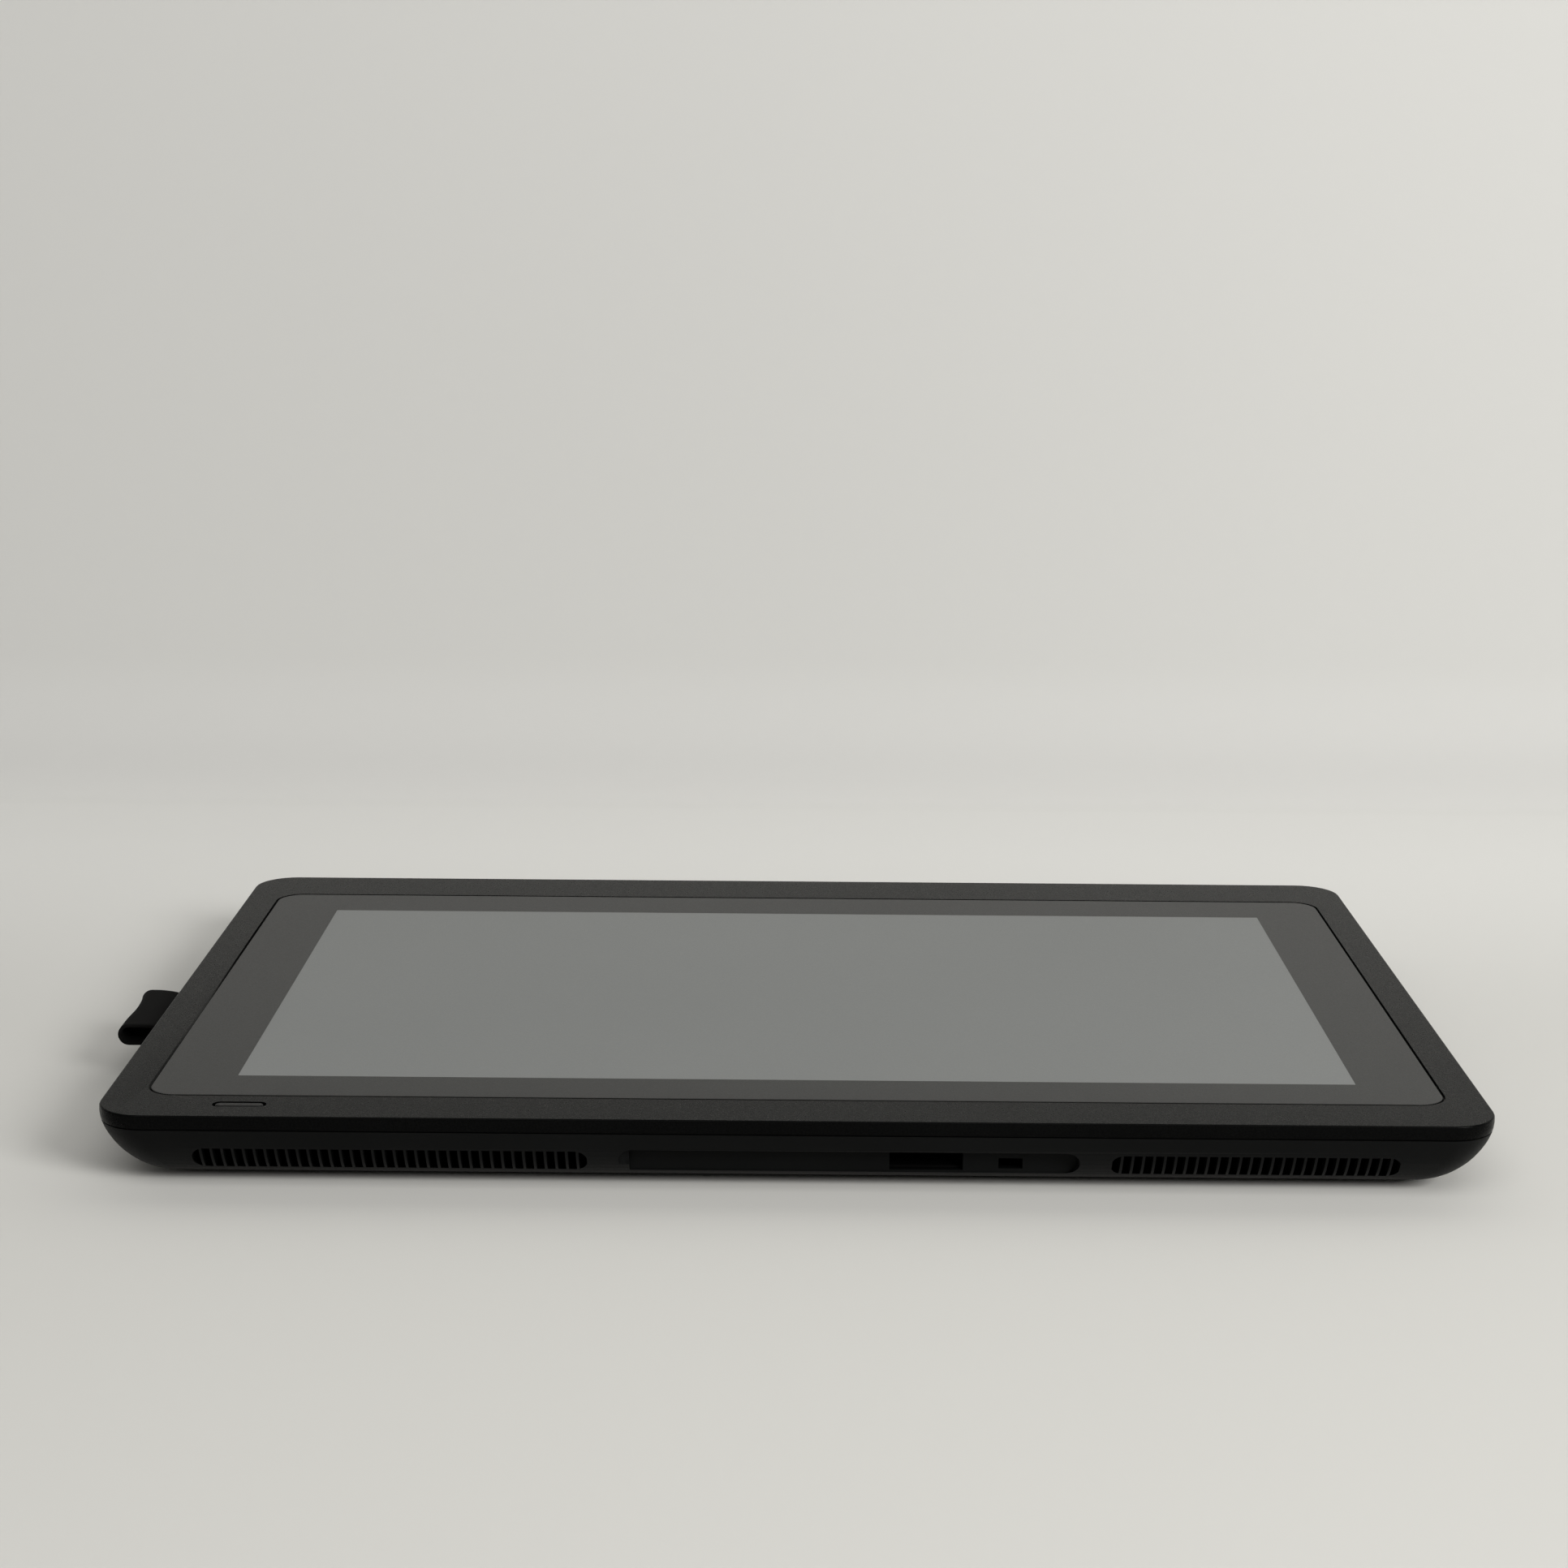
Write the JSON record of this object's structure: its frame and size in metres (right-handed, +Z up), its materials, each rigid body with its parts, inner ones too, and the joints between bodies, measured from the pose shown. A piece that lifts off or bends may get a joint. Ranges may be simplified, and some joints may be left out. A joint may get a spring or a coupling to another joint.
{
  "type": "pen display",
  "caption": "Pen display: a flat drawing tablet with a built-in screen, a moulded rear cover with a vented far side, fold-out legs, a power button and a side pen loop.",
  "frame": {"origin": "on the desk, under the middle of the case", "axes": "+X to the user's right, +Y away from the user, +Z up through the screen"},
  "size_m": [0.4343, 0.2804, 0.0245],
  "materials": {
    "bezel_plastic": "fine matte moulding",
    "cover_plastic": "fine matte moulding",
    "cover_glass": "etched anti-glare glass with a dark printed border",
    "tape": "black adhesive tape",
    "foam": "black foam",
    "panel_glass": "liquid-crystal panel, switched off",
    "white_film": "white film",
    "clear_acrylic": "clear acrylic sheet",
    "light_strip": "strip of small lights",
    "steel_sheet": "zinc-coated sheet",
    "plate_alloy": "pressed sheet",
    "circuit_board": "glass-fibre circuit board with solder mask",
    "chips": "moulded chip cases",
    "screw_steel": "plated screws",
    "socket_plastic": "black moulding",
    "flat_cable": "polyimide film",
    "button_plastic": "fine matte moulding",
    "white_plastic": "small white moulding",
    "rubber": "black rubber",
    "pin_steel": "ground steel pin",
    "webbing": "black woven webbing",
    "nib_plastic": "black acetal"
  },
  "bodies": {
    "case": {"front_bezel": "bezel_plastic", "cover_glass": "cover_glass", "glass_tape": "tape", "dust_gasket": "foam", "lcd_panel": "panel_glass", "diffuser_films": "white_film", "light_guide": "clear_acrylic", "reflector_sheet": "white_film", "led_strip": "light_strip", "backlight_tray": "steel_sheet", "pen_sensor_board": "circuit_board", "sensor_shield": "steel_sheet", "chassis_plate": "plate_alloy", "bezel_screws": "screw_steel", "main_board": "circuit_board", "board_parts": "chips", "board_screws": "screw_steel", "cable_socket": "socket_plastic", "lock_bracket": "steel_sheet", "lcd_flex": "flat_cable", "sensor_flex": "flat_cable", "button_cable": "flat_cable", "button_switch": "socket_plastic", "status_led": "white_plastic", "button_board": "circuit_board", "button_board_screws": "screw_steel", "rear_cover": "cover_plastic", "cover_screws": "screw_steel", "front_feet": "rubber", "rear_feet": "rubber", "left_hinge_pin": "pin_steel", "right_hinge_pin": "pin_steel", "pen_loop": "webbing", "loop_clip": "nib_plastic", "spare_nibs": "nib_plastic", "nib_puller": "steel_sheet"},
    "power_button": {"power_button": "button_plastic", "switch_plunger": "white_plastic"},
    "left_leg": {"left_leg": "cover_plastic", "left_leg_pad": "rubber"},
    "right_leg": {"right_leg": "cover_plastic", "right_leg_pad": "rubber"}
  },
  "joints": [
    {"name": "power_button_press", "type": "slide", "parent": "case", "child": "power_button", "axis": [0, 0, -1], "range_m": [0, 0.0005], "stiffness_N_per_m": 4000},
    {"name": "left_leg_hinge", "type": "hinge", "parent": "case", "child": "left_leg", "pos_m": [-0.124, 0.084, 0.0062], "axis": [1, 0, 0], "range_deg": [0, 100]},
    {"name": "right_leg_hinge", "type": "hinge", "parent": "case", "child": "right_leg", "pos_m": [0.124, 0.084, 0.0062], "axis": [1, 0, 0], "range_deg": [0, 100]}
  ]
}
